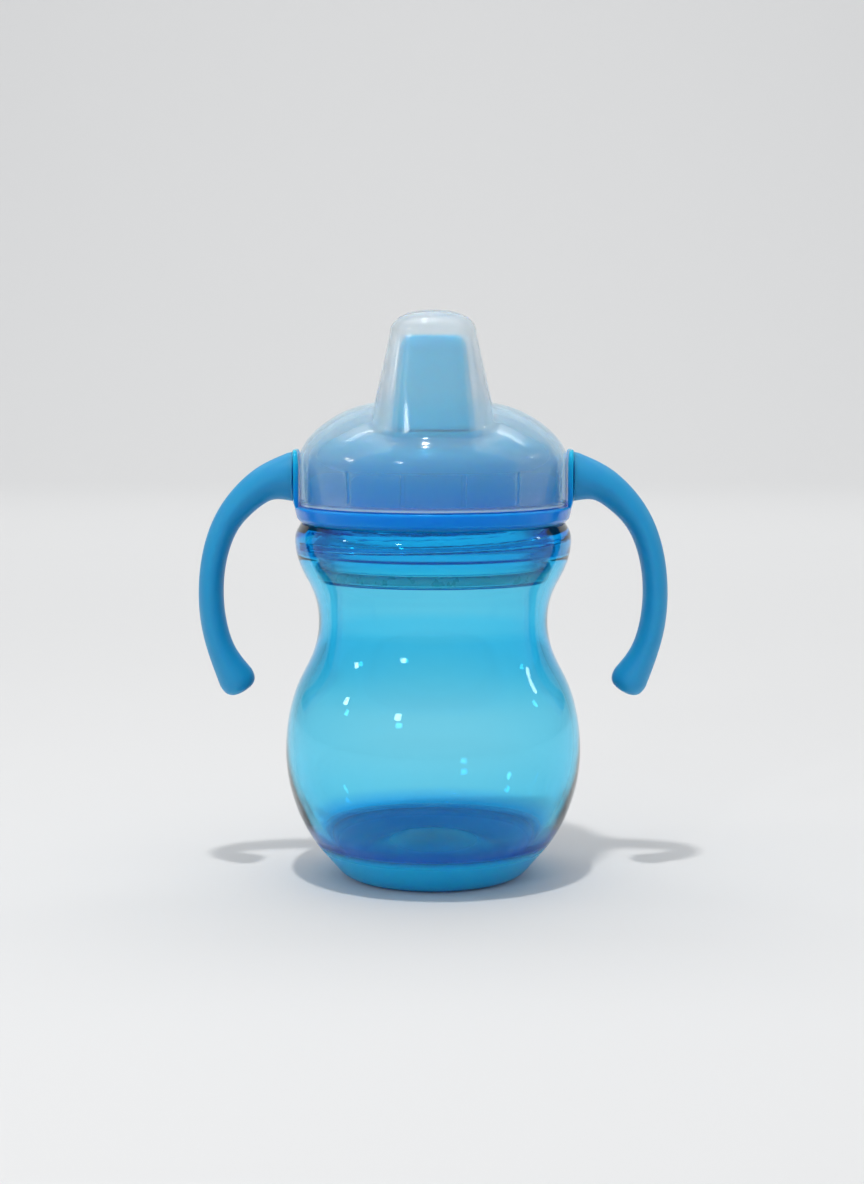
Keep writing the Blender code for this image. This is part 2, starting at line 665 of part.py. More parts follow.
def cap_column(dome, turn):
    """Points of the cap's outside from its rim to the top of the tower, at one turn."""
    crossing = tower_point(turn, TOWER_REAR[1])
    for _ in range(30):
        z = dome.height_at(math.hypot(crossing[0], crossing[1]))
        crossing = tower_point(turn, (z + crossing[2]) / 2)
    rim_direction = np.array((math.cos(turn), math.sin(turn)))
    edge = dome.reach[-1] * rim_direction
    foot = dome.plan_of(crossing[0], crossing[1])
    outward = unit(edge - foot)
    wall = unit(tower_point(turn, crossing[2] + 0.001) - crossing)
    slope = unit(crossing - dome.place(foot + 0.001 * outward))
    corner = math.acos(min(1.0, float(np.dot(wall, slope))))
    blend = FILLET_RADIUS * math.tan(corner / 2)
    foot = foot + outward * blend
    column = []
    for z, radius in ((CAP_RIM_Z, CAP_RIM_RADIUS), (CAP_SKIRT_Z, CAP_RADIUS)):
        column.append(np.array((*(radius * rim_direction), z)))
    for share in np.linspace(0.0, 1.0, 8):
        column.append(dome.place(edge + (foot - edge) * share))
    low = column[-1]
    high = tower_point(turn, crossing[2] + blend)
    for t in (0.33, 0.67, 1.0):
        column.append((1 - t) ** 2 * low + 2 * t * (1 - t) * crossing + t ** 2 * high)
    side_top = TOWER_TOP_Z - TOWER_CROWN
    for share in (0.33, 0.67, 1.0):
        column.append(tower_point(turn, high[2] + (side_top - high[2]) * share))
    for shrink in (0.97, 0.89, 0.76, 0.56, 0.28):
        rise = TOWER_CROWN * (1 - shrink ** CROWN_POWER) ** (1 / CROWN_POWER)
        x, y, _ = tower_point(turn, side_top, shrink)
        column.append(np.array((x, y, side_top + rise)))
    return column


def make_cap(parts, tools, material):
    dome = Dome(cap_outline())
    columns = [cap_column(dome, 2 * math.pi * k / SEGMENTS) for k in range(SEGMENTS)]
    rings = [[column[row] for column in columns] for row in range(len(columns[0]))]
    cap = add_object("travel_cap", loft(rings, cap_start=False), parts, material)
    shell = cap.modifiers.new("Wall", "SOLIDIFY")
    shell.thickness = CAP_WALL
    shell.offset = -1.0
    shell.use_even_offset = True
    form = bmesh.new()
    rib_root = CAP_RADIUS - CAP_WALL / 2
    size = Matrix.Diagonal((rib_root - RIB_INNER_RADIUS, RIB_WIDTH,
                            RIB_TOP_Z - RIB_BOTTOM_Z, 1.0))
    place = Matrix.Translation(((RIB_INNER_RADIUS + rib_root) / 2, 0.0,
                                (RIB_BOTTOM_Z + RIB_TOP_Z) / 2))
    for from_front in RIB_ANGLES:
        for angle in (from_front, -from_front, 180 - from_front, 180 + from_front):
            spin = Matrix.Rotation(math.radians(angle - 90), 4, "Z")
            bmesh.ops.create_cube(form, size=1.0, matrix=spin @ place @ size)
    mesh = bpy.data.meshes.new("cap_ribs")
    form.to_mesh(mesh)
    form.free()
    combine(cap, add_object("cap_ribs", mesh, tools), "UNION")


def main():
    clear_scene()
    parts = new_collection("sippy_cup")
    tools = new_collection("cutters")
    cup_blue = plastic("cup_blue", CUP_BLUE)
    lid_blue = plastic("lid_blue", LID_BLUE)
    soft_white = plastic("soft_white", SOFT_WHITE)
    make_cup(parts, tools, cup_blue)
    make_lid(parts, tools, lid_blue)
    make_handles(parts, lid_blue)
    make_spout(parts, tools, plastic("spout_blue", SPOUT_BLUE))
    make_valve(parts, tools, soft_white)
    make_seal(parts, soft_white)
    make_cap(parts, tools, plastic("clear", CLEAR))


main()
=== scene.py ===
"""Looks of the baby training cup: fine meshes, plastics and silicone, floor, light, camera.

Metres, +Z up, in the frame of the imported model. Every CAD node is replaced by a
finely divided piece of the same size, built round the same outlines.
"""
import math

import bmesh
import bpy
import numpy as np
from mathutils import Matrix, Vector


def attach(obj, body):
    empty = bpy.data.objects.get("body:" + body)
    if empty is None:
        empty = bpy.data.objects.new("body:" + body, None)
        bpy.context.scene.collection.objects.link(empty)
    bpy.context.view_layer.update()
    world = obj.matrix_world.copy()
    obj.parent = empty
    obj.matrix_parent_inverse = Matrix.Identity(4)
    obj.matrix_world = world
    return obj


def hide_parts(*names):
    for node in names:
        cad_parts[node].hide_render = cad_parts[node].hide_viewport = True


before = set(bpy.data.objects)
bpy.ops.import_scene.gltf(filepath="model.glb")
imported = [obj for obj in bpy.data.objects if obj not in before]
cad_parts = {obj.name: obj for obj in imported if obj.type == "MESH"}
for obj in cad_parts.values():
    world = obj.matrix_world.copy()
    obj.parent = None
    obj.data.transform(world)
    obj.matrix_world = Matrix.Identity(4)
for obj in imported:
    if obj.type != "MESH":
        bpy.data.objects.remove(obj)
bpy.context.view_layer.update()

GAP = 0.0003                # between pieces that touch in the real cup
OVERLAP = 0.001             # how far a cutting tool reaches past what it cuts
SOFT_EDGE = 0.0003          # rounding of the silicone's edges
FINE = 192                  # divisions round the axis


# ================================================================ curves
def spline(stations, count):
    """count points on the natural cubic spline through the stations."""
    points = np.array(stations, dtype=float)
    last = len(points) - 1
    steps = np.linalg.norm(np.diff(points, axis=0), axis=1)
    knots = np.concatenate([[0.0], np.cumsum(steps)])
    system = np.eye(last + 1)
    target = np.zeros_like(points)
    for i in range(1, last):
        system[i, i - 1:i + 2] = steps[i - 1], 2 * (steps[i - 1] + steps[i]), steps[i]
        rise = (points[i + 1] - points[i]) / steps[i]
        fall = (points[i] - points[i - 1]) / steps[i - 1]
        target[i] = 6 * (rise - fall)
    bend = np.linalg.solve(system, target)
    curve = []
    for s in np.linspace(0.0, knots[-1], count):
        i = min(int(np.searchsorted(knots, s, side="right")) - 1, last - 1)
        a = (knots[i + 1] - s) / steps[i]
        b = (s - knots[i]) / steps[i]
        pull = ((a ** 3 - a) * bend[i] + (b ** 3 - b) * bend[i + 1]) * steps[i] ** 2 / 6
        curve.append(a * points[i] + b * points[i + 1] + pull)
    return np.array(curve)


def inset(curve, distance):
    """The curve moved to its right-hand side by the distance."""
    points = np.array(curve)
    along = np.gradient(points, axis=0)
    along /= np.linalg.norm(along, axis=1)[:, None]
    return points + distance * np.column_stack([along[:, 1], -along[:, 0]])


def rounded(corners, steps=6):
    """The path through (r, z, radius) corners, each turned with an arc of its radius."""
    path = []
    for i, (r, z, radius) in enumerate(corners):
        here = np.array((r, z))
        if radius == 0.0 or i in (0, len(corners) - 1):
            path.append(here)
            continue
        before = np.array(corners[i - 1][:2]) - here
        after = np.array(corners[i + 1][:2]) - here
        before_length = np.linalg.norm(before)
        after_length = np.linalg.norm(after)
        before /= before_length
        after /= after_length
        half = math.acos(max(-1.0, min(1.0, float(before @ after)))) / 2
        reach = min(radius / math.tan(half), 0.49 * before_length, 0.49 * after_length)
        start = here + before * reach
        end = here + after * reach
        for t in np.linspace(0.0, 1.0, steps):
            path.append((1 - t) ** 2 * start + 2 * t * (1 - t) * here + t ** 2 * end)
    return np.array(path)


def refined(path, longest):
    """The path with extra points, so that no step is longer than the limit."""
    out = [path[0]]
    for a, b in zip(path, path[1:]):
        parts = max(1, math.ceil(np.linalg.norm(b - a) / longest))
        for k in range(1, parts + 1):
            out.append(a + (b - a) * k / parts)
    return np.array(out)


def squarish(half_x, front_y, rear_y, z, power=3.0, count=96):
    """A level ring like a rounded rectangle, counter-clockwise from above."""
    turn = 2 * np.pi * np.arange(count) / count
    c = np.cos(turn)
    s = np.sin(turn)
    x = half_x * np.sign(c) * np.abs(c) ** (2 / power)
    y = (front_y + rear_y) / 2 + (rear_y - front_y) / 2 * np.sign(s) * np.abs(s) ** (2 / power)
    return np.column_stack([x, y, np.full(count, z)])


# ================================================================ meshes
def grid_mesh(name, rings, start_pole=None, end_pole=None, cap_start=False, cap_end=False):
    """A mesh through closed rings of equal length, ended by a pole, a cap or a hole."""
    rings = np.array(rings)
    rows, count, _ = rings.shape
    verts = [tuple(p) for p in rings.reshape(-1, 3)]
    index = np.arange(rows * count).reshape(rows, count)
    faces = []
    for i in range(rows - 1):
        low = index[i]
        high = index[i + 1]
        for k in range(count):
            after = (k + 1) % count
            faces.append((low[k], low[after], high[after], high[k]))
    if start_pole is not None:
        verts.append(tuple(start_pole))
        faces += [(len(verts) - 1, index[0][(k + 1) % count], index[0][k]) for k in range(count)]
    if end_pole is not None:
        verts.append(tuple(end_pole))
        faces += [(len(verts) - 1, index[-1][k], index[-1][(k + 1) % count]) for k in range(count)]
    if cap_start:
        faces.append(tuple(index[0][::-1]))
    if cap_end:
        faces.append(tuple(index[-1]))
    mesh = bpy.data.meshes.new(name)
    mesh.from_pydata(verts, [], [tuple(int(v) for v in face) for face in faces])
    form = bmesh.new()
    form.from_mesh(mesh)
    if not any(edge.is_boundary for edge in form.edges):
        bmesh.ops.recalc_face_normals(form, faces=form.faces)
    form.to_mesh(mesh)
    form.free()
    mesh.shade_smooth()
    return mesh


def turned(name, profile, bump=None, closed=False):
    """A body of revolution; bump adds to the radius at each height and turn."""
    turn = 2 * np.pi * np.arange(FINE) / FINE
    start = end = None
    if not closed:
        if profile[0][0] < 1e-6:
            start = (0.0, 0.0, profile[0][1])
            profile = profile[1:]
        if profile[-1][0] < 1e-6:
            end = (0.0, 0.0, profile[-1][1])
            profile = profile[:-1]
    else:
        profile = np.vstack([profile, profile[:1]])
    rings = []
    for r, z in profile:
        radius = np.full(FINE, r)
        if bump is not None:
            radius = radius + bump(turn, r, z)
        rings.append(np.column_stack([radius * np.cos(turn), radius * np.sin(turn),
                                      np.full(FINE, z)]))
    mesh = grid_mesh(name, rings, start_pole=start, end_pole=end)
    if closed:
        form = bmesh.new()
        form.from_mesh(mesh)
        bmesh.ops.remove_doubles(form, verts=form.verts, dist=1e-7)
        bmesh.ops.recalc_face_normals(form, faces=form.faces)
        form.to_mesh(mesh)
        form.free()
    return mesh


def piece(name, mesh, *materials):
    thing = bpy.data.objects.new(name, mesh)
    bpy.context.scene.collection.objects.link(thing)
    for material in materials:
        mesh.materials.append(material)
    return thing


def cut(thing, mesh, operation="DIFFERENCE"):
    """Cuts or joins a mesh at once, and leaves no modifier and no tool behind."""
    tool = bpy.data.objects.new("tool", mesh)
    bpy.context.scene.collection.objects.link(tool)
    change = thing.modifiers.new("change", "BOOLEAN")
    change.operation = operation
    change.object = tool
    settle(thing)
    bpy.data.objects.remove(tool, do_unlink=True)


def settle(thing):
    """Turns the piece's modifiers into its mesh."""
    graph = bpy.context.evaluated_depsgraph_get()
    done = bpy.data.meshes.new_from_object(thing.evaluated_get(graph))
    thing.modifiers.clear()
    thing.data = done


def smooth_shading(thing, degrees=40):
    thing.data.shade_smooth()
    thing.data.set_sharp_from_angle(angle=math.radians(degrees))


# ================================================================ materials
PLASTIC_IOR = 1.49
SILICONE_IOR = 1.41
BLUE_SCATTER = (0.2, 0.8, 1.0)      # how far red, green and blue light spread


def new_material(name):
    material = bpy.data.materials.new(name)
    material.use_nodes = True
    tree = material.node_tree
    return material, tree, tree.nodes["Principled BSDF"]


def scattering_material(name, ior, share, spread, reach, reflection=(1.0, 1.0, 1.0)):
    """A material that lets light in and out again; spread is per colour, reach in metres."""
    material, tree, shader = new_material(name)
    shader.inputs["IOR"].default_value = ior
    shader.inputs["Specular Tint"].default_value = (*reflection, 1.0)
    shader.inputs["Subsurface Weight"].default_value = share
    shader.inputs["Subsurface Radius"].default_value = spread
    shader.inputs["Subsurface Scale"].default_value = reach
    return material, tree, shader


def moulded_surface(tree, shader, low, high, scale, bump):
    """Slight unevenness of moulded plastic; gives back the roughness, from low to high."""
    place = tree.nodes.new("ShaderNodeTexCoord")
    noise = tree.nodes.new("ShaderNodeTexNoise")
    noise.inputs["Scale"].default_value = scale
    noise.inputs["Detail"].default_value = 3.0
    span = tree.nodes.new("ShaderNodeMapRange")
    span.inputs["From Min"].default_value = 0.3
    span.inputs["From Max"].default_value = 0.7
    span.inputs["To Min"].default_value = low
    span.inputs["To Max"].default_value = high
    tree.links.new(place.outputs["Object"], noise.inputs["Vector"])
    tree.links.new(noise.outputs["Fac"], span.inputs["Value"])
    tree.links.new(span.outputs["Result"], shader.inputs["Roughness"])
    if bump:
        relief = tree.nodes.new("ShaderNodeBump")
        relief.inputs["Strength"].default_value = 1.0
        relief.inputs["Distance"].default_value = bump
        tree.links.new(noise.outputs["Fac"], relief.inputs["Height"])
        tree.links.new(relief.outputs["Normal"], shader.inputs["Normal"])
    return span.outputs["Result"]


def absorb(tree, per_metre):
    """Tints the inside of the plastic by depth; per_metre is for red, green and blue."""
    density = max(per_metre) * 1.02
    volume = tree.nodes.new("ShaderNodeVolumeAbsorption")
    volume.inputs["Color"].default_value = (*(1 - k / density for k in per_metre), 1.0)
    volume.inputs["Density"].default_value = density
    tree.links.new(volume.outputs["Volume"], tree.nodes["Material Output"].inputs["Volume"])


def height_on(tree):
    """The height of a point of the object."""
    place = tree.nodes.new("ShaderNodeTexCoord")
    split = tree.nodes.new("ShaderNodeSeparateXYZ")
    tree.links.new(place.outputs["Object"], split.inputs["Vector"])
    return split.outputs["Z"]


def by_height(tree, low_z, high_z, low_value, high_value):
    """A value that changes smoothly between two heights."""
    span = tree.nodes.new("ShaderNodeMapRange")
    span.interpolation_type = "SMOOTHSTEP"
    span.inputs["From Min"].default_value = low_z
    span.inputs["From Max"].default_value = high_z
    span.inputs["To Min"].default_value = low_value
    span.inputs["To Max"].default_value = high_value
    tree.links.new(height_on(tree), span.inputs["Value"])
    return span.outputs["Result"]


def tint_by_height(tree, shader, *stops):
    """Lets the base colour change with the height: each stop is a height and a colour."""
    top = stops[-1][0]
    ramp = tree.nodes.new("ShaderNodeValToRGB")
    elements = ramp.color_ramp.elements
    while len(elements) < len(stops):
        elements.new(0.5)
    for element, (z, colour) in zip(elements, stops):
        element.position = z / top
        element.color = (*colour, 1.0)
    share = tree.nodes.new("ShaderNodeMath")
    share.operation = "DIVIDE"
    share.inputs[1].default_value = top
    tree.links.new(height_on(tree), share.inputs[0])
    tree.links.new(share.outputs["Value"], ramp.inputs["Fac"])
    tree.links.new(ramp.outputs["Color"], shader.inputs["Base Color"])


def cup_plastic():
    """Clear cyan plastic: polished walls, a frosted, deeper blue base, and painted light: a band of the
    lid's blue light on the belly and the lid's blue at the mouth.
    """
    material, tree, shader = scattering_material("cup_plastic", PLASTIC_IOR, 1.0, BLUE_SCATTER, 0.004,
                                                 reflection=(0.55, 0.90, 1.0))
    polish = moulded_surface(tree, shader, 0.01, 0.05, 35.0, 0.000006)
    most = tree.nodes.new("ShaderNodeMath")
    most.operation = "MAXIMUM"
    tree.links.new(polish, most.inputs[0])
    tree.links.new(by_height(tree, 0.0060, 0.0140, 0.30, 0.0), most.inputs[1])
    tree.links.new(most.outputs["Value"], shader.inputs["Roughness"])
    tree.links.new(by_height(tree, 0.0075, 0.0102, 0.25, 1.0), shader.inputs["Transmission Weight"])
    deep = (0.010, 0.56, 1.0)
    clear = (0.97, 0.97, 1.0)
    # painted light: the more saturated cyan band across the belly (46 to 66 mm up) stands in for the
    # blue lid's light seen in the walls
    cyan = (0.66, 0.92, 1.0)
    rim = (0.24, 0.72, 1.0)
    # painted light: the mouth (84 to 92 mm up) is tinted the lid's blue, standing in for the lid's blue
    # light showing through it
    tint_by_height(tree, shader, (0.0, deep), (0.0102, deep), (0.0150, clear), (0.0460, clear),
                   (0.0560, cyan), (0.0630, cyan), (0.0660, clear), (0.0800, clear),
                   (0.0840, rim), (0.0920, rim))
    absorb(tree, (420.0, 58.0, 4.0))
    return material


def lid_plastic():
    """Deep-blue plastic: the band and dome scatter light back, the dome is painted a lighter blue for
    the top light reaching it through the cap, and the thin skirt is see-through.
    """
    material, tree, shader = scattering_material("lid_plastic", PLASTIC_IOR, 1.0, BLUE_SCATTER, 0.003,
                                                 reflection=(0.15, 0.65, 1.0))
    moulded_surface(tree, shader, 0.14, 0.22, 60.0, 0.00001)
    tree.links.new(by_height(tree, 0.0900, 0.0925, 1.0, 0.22), shader.inputs["Transmission Weight"])
    skirt = (0.36, 1.0, 1.0)
    band = (0.006, 0.31, 0.95)
    # painted light: the dome's blue is lighter than the band's, standing in for the top light that
    # reaches it through the clear cap
    dome = (0.015, 0.57, 1.0)
    tint_by_height(tree, shader, (0.0, skirt), (0.0905, skirt), (0.0920, band), (0.0985, band),
                   (0.1110, dome), (0.1200, dome))
    absorb(tree, (800.0, 50.0, 2.0))
    return material


def arm_plastic():
    """The lid's plastic in the thick handles, where more of the light scatters back."""
    material, tree, shader = scattering_material("arm_plastic", PLASTIC_IOR, 0.9, BLUE_SCATTER, 0.004,
                                                 reflection=(0.70, 0.92, 1.0))
    shader.inputs["Base Color"].default_value = (0.014, 0.38, 0.71, 1.0)
    shader.inputs["Transmission Weight"].default_value = 0.20
    moulded_surface(tree, shader, 0.36, 0.46, 60.0, 0.00001)
    return material


def cap_plastic():
    """Clear plastic, slightly milky: lower down it is painted blue, standing in for the blue light it
    takes up from the lid below it.
    """
    material, tree, shader = scattering_material("cap_plastic", PLASTIC_IOR, 1.0, (0.8, 0.9, 1.0), 0.002)
    moulded_surface(tree, shader, 0.05, 0.09, 40.0, 0.000006)
    tree.links.new(by_height(tree, 0.0961, 0.0967, 0.10, 0.72), shader.inputs["Transmission Weight"])
    tree.links.new(by_height(tree, 0.0961, 0.0967, 0.90, 0.45), shader.inputs["Alpha"])
    # painted light: blue and bluish stand in for the lid's blue light in the cap's rim, wall and dome;
    # neutral is the clear cap's own colour
    blue = (0.30, 0.76, 1.0)
    bluish = (0.66, 0.87, 1.0)
    neutral = (0.90, 0.97, 1.0)
    tint_by_height(tree, shader, (0.0, bluish), (0.0966, bluish), (0.0974, blue), (0.1010, blue),
                   (0.1090, bluish), (0.1160, bluish), (0.1250, neutral), (0.1450, neutral))
    absorb(tree, (12.0, 4.0, 1.0))
    return material


def silicone(name, colour, roughness, transmission=0.0, relief=0.000008):
    """Matt silicone; relief is the depth of its grain."""
    material, tree, shader = scattering_material(name, SILICONE_IOR, 0.8, (0.5, 0.8, 1.0), 0.003)
    shader.inputs["Transmission Weight"].default_value = transmission
    shader.inputs["Base Color"].default_value = (*colour, 1.0)
    moulded_surface(tree, shader, roughness - 0.08, roughness + 0.08, 300.0, relief)
    return material


# ================================================================ cup
BELLY_RADIUS = 0.0379
WAIST_RADIUS = 0.0293
SHOULDER_RADIUS = 0.0352
FOOT_RADIUS = 0.0202
FOOT_INNER_RADIUS = 0.0176
PUNT_HEIGHT = 0.0068
CUP_WALL = 0.0024
MOUTH_RADIUS = 0.0326
MOUTH_SEAT_Z = 0.0838
CUP_RIM_Z = 0.0912
CUP_RIM_RADIUS = 0.0339
CUP_FLOOR_TOP_Z = 0.0085    # where the inner wall runs into the rounded floor
MOUTH_STEP = 0.00012        # longest step along the mouth, fine enough for the thread

THREAD_PITCH = 0.005
THREAD_Z = 0.0856
THREAD_TURNS = 0.85
THREAD_ROOT_HALF = 0.0009
THREAD_CREST_HALF = 0.0004
THREAD_RUNOUT = 40          # how steeply a ridge begins and ends, per turn
LID_THREAD_ROOT = 0.0306
LID_THREAD_CREST = 0.0322
CUP_THREAD_CREST = 0.0313
CUP_THREAD_START = -0.45
CUP_THREAD_Z = THREAD_Z + THREAD_PITCH * (0.5 + CUP_THREAD_START)


def cup_outline(count):
    """Radius and height of the cup's outer side, from the rim down to the foot."""
    return spline((
        (CUP_RIM_RADIUS, CUP_RIM_Z - 0.0004),
        (0.0350, 0.0887),
        (SHOULDER_RADIUS, 0.0860),
        (0.0337, 0.0799),
        (0.0305, 0.0733),
        (WAIST_RADIUS, 0.0655),
        (0.0309, 0.0577),
        (0.0344, 0.0505),
        (0.0370, 0.0421),
        (BELLY_RADIUS, 0.0333),
        (0.0372, 0.0250),
        (0.0347, 0.0166),
        (0.0305, 0.0091),
        (0.0257, 0.0034),
        (FOOT_RADIUS + 0.0028, 0.0008),
        (FOOT_RADIUS, 0.0),
    ), count)


def thread_bump(start_z, start_turn, height):
    """How far a ridge on a helix stands off its wall, at each turn of one height."""
    def bump(turn, r, z):
        total = np.zeros_like(turn)
        for extra in (-1, 0, 1):
            along = turn / (2 * np.pi) + extra - start_turn
            middle = start_z + THREAD_PITCH * along
            flank = (THREAD_ROOT_HALF - np.abs(z - middle)) / (THREAD_ROOT_HALF - THREAD_CREST_HALF)
            ridge = np.clip(flank, 0.0, 1.0)
            ridge = ridge * ridge * (3 - 2 * ridge)
            ends = np.clip(np.minimum(along, THREAD_TURNS - along) * THREAD_RUNOUT + 0.5, 0.0, 1.0)
            total = np.maximum(total, ridge * ends)
        return height * total
    return bump


def wall_thickness(z):
    """The wall is thickest below the waist and over the base."""
    curve = spline(((0.0, 0.0030), (0.012, 0.0027), (0.024, 0.0021), (0.036, 0.0018),
                    (0.047, 0.0020), (0.058, 0.0026), (0.068, 0.0025), (0.076, CUP_WALL),
                    (MOUTH_SEAT_Z, CUP_WALL), (CUP_RIM_Z, CUP_WALL)), 200)
    return np.interp(z, curve[:, 0], curve[:, 1])


def make_cup(plastic):
    outside = cup_outline(150)
    ball = (FOOT_INNER_RADIUS ** 2 + PUNT_HEIGHT ** 2) / (2 * PUNT_HEIGHT)
    edge = math.asin(FOOT_INNER_RADIUS / ball)
    under = [(ball * math.sin(edge * (1 - t)), ball * math.cos(edge * (1 - t)) - ball + PUNT_HEIGHT)
             for t in np.linspace(0.0, 1.0, 25)]
    under[-1] = (0.0, PUNT_HEIGHT)
    wall = inset(outside, wall_thickness(outside[:, 1])[:, None])
    wall = wall[(wall[:, 1] < MOUTH_SEAT_Z - 0.0006) & (wall[:, 1] > CUP_FLOOR_TOP_Z)]
    floor = spline((
        wall[-1] + (wall[-1] - wall[-2]) * 2,
        (0.0232, 0.0050),
        (0.0206, 0.0042),
        (0.0175, 0.0048),
        (0.0120, 0.0073),
        (0.0060, 0.0088),
        (0.0, 0.0092),
    ), 40)
    mouth = refined(rounded((
        (*wall[0], 0.0),
        (MOUTH_RADIUS, MOUTH_SEAT_Z, 0.002),
        (MOUTH_RADIUS, CUP_RIM_Z, 0.0005),
        (CUP_RIM_RADIUS - 0.0002, CUP_RIM_Z, 0.0006),
        (*outside[0], 0.0),
    )), MOUTH_STEP)
    inside = np.vstack([floor[::-1], wall[::-1], mouth[1:-1]])
    profile = np.vstack([inside, outside, under])
    ridge = thread_bump(CUP_THREAD_Z, CUP_THREAD_START, CUP_THREAD_CREST - MOUTH_RADIUS)

    def on_the_mouth(turn, r, z):
        in_mouth = abs(r - MOUTH_RADIUS) < 0.0002 and z < CUP_RIM_Z - 0.0003
        return ridge(turn, r, z) if in_mouth else np.zeros_like(turn)

    cup = piece("cup", turned("cup", profile, bump=on_the_mouth), plastic)
    smooth_shading(cup, 50)
    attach(cup, "cup")
    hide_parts("cup_body")


# ================================================================ lid
LID_WALL = 0.0018
LID_RADIUS = 0.0319
LID_TOP_Z = 0.1139
LEDGE_Z = 0.0956
BAND_RADIUS = 0.0354
BAND_FOOT_RADIUS = 0.0347
BAND_FOOT_Z = 0.0925
BAND_BOTTOM_RADIUS = 0.0337
BAND_BOTTOM_Z = 0.0915
SKIRT_RADIUS = 0.0293
SKIRT_INNER_RADIUS = 0.0276
SKIRT_BOTTOM_Z = 0.0774
GROOVE_RADIUS = 0.0284
GROOVE_BOTTOM_Z = 0.0780
GROOVE_TOP_Z = 0.0807
EAR_HALF_ANGLE = math.radians(11.0)
EAR_INNER_RADIUS = 0.0346
EAR_OUTER_RADIUS = 0.0358
EAR_ROOT_Z = 0.0932
EAR_TOP_Z = 0.1098
EAR_RISE = 0.0036           # height of the curve from the band up to the ear's outer face
EAR_EDGE = 0.0006
EAR_CORNER = 0.55           # share of the ear's half-width where its top begins to drop
EAR_CORNER_DROP = 0.0030

BOSS_HALF_X = 0.0122
BOSS_FRONT_Y = -0.0282
BOSS_REAR_Y = -0.0108
BOSS_BOTTOM_Z = 0.1114
BOSS_TOP_Z = 0.1152
BOSS_POWER = 2.4
BOSS_EDGE = 0.0006
SEAT_Y = -0.0182
SOCKET_HALF_X = 0.0084
SOCKET_HALF_Y = 0.0064
SOCKET_WALL = 0.0013
SOCKET_BOTTOM_Z = 0.1036
SOCKET_ROOF_Z = 0.1134
NECK_HALF_X = 0.0059
NECK_HALF_Y = 0.0039
NECK_WALL = 0.0013


def seat_ring(half_x, half_y, z, grow=0.0):
    return squarish(half_x + grow, SEAT_Y - half_y - grow, SEAT_Y + half_y + grow, z)


def ear_mesh(side):
    """An upright curved wall outside the cap, with a rounded edge all round."""
    steps = 40
    rings = []
    for k in range(steps + 1):
        share = 2 * k / steps - 1
        angle = EAR_HALF_ANGLE * share
        drop = EAR_CORNER_DROP * max(0.0, (abs(share) - EAR_CORNER) / (1 - EAR_CORNER)) ** 2.5
        section = rounded((
            (EAR_INNER_RADIUS - EAR_EDGE, EAR_ROOT_Z, 0.0),
            (BAND_FOOT_RADIUS, EAR_ROOT_Z, 0.0),
            (EAR_OUTER_RADIUS, EAR_ROOT_Z + EAR_RISE, 0.004),
            (EAR_OUTER_RADIUS, EAR_TOP_Z - drop, EAR_EDGE),
            (EAR_INNER_RADIUS, EAR_TOP_Z - drop, EAR_EDGE),
            (EAR_INNER_RADIUS, LEDGE_Z - EAR_EDGE, 0.0),
        ))
        c = side * math.cos(angle)
        s = math.sin(angle)
        rings.append(np.array([(r * c, r * s, z) for r, z in section]))
    return grid_mesh("ear", rings, cap_start=True, cap_end=True)


